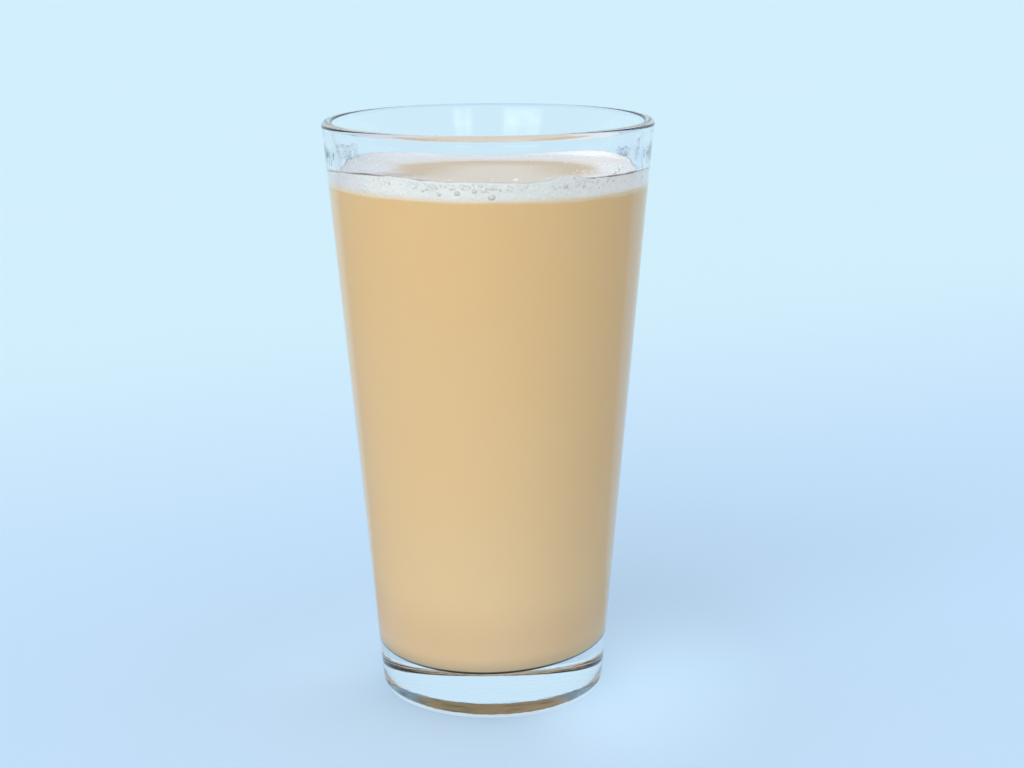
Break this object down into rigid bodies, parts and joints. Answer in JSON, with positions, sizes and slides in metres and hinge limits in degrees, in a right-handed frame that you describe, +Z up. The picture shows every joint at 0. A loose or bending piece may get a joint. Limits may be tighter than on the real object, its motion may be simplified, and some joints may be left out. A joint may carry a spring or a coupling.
{
  "type": "glass of latte",
  "caption": "Tall tapered clear glass tumbler with a thick base, filled with tan latte under a layer of white milk foam.",
  "frame": {"origin": "centre of the foot, on the surface the glass stands on", "axes": "+Z up along the axis of the glass; -Y is the side the drink is seen from"},
  "size_m": [0.084, 0.084, 0.15],
  "materials": {
    "clear_glass": "clear polished soda-lime glass",
    "latte": "opaque milky coffee, wet",
    "milk_foam": "fine wet milk foam with small bubbles"
  },
  "bodies": {
    "root": {"tumbler": "clear_glass", "latte": "latte", "milk_foam": "milk_foam"}
  },
  "joints": []
}
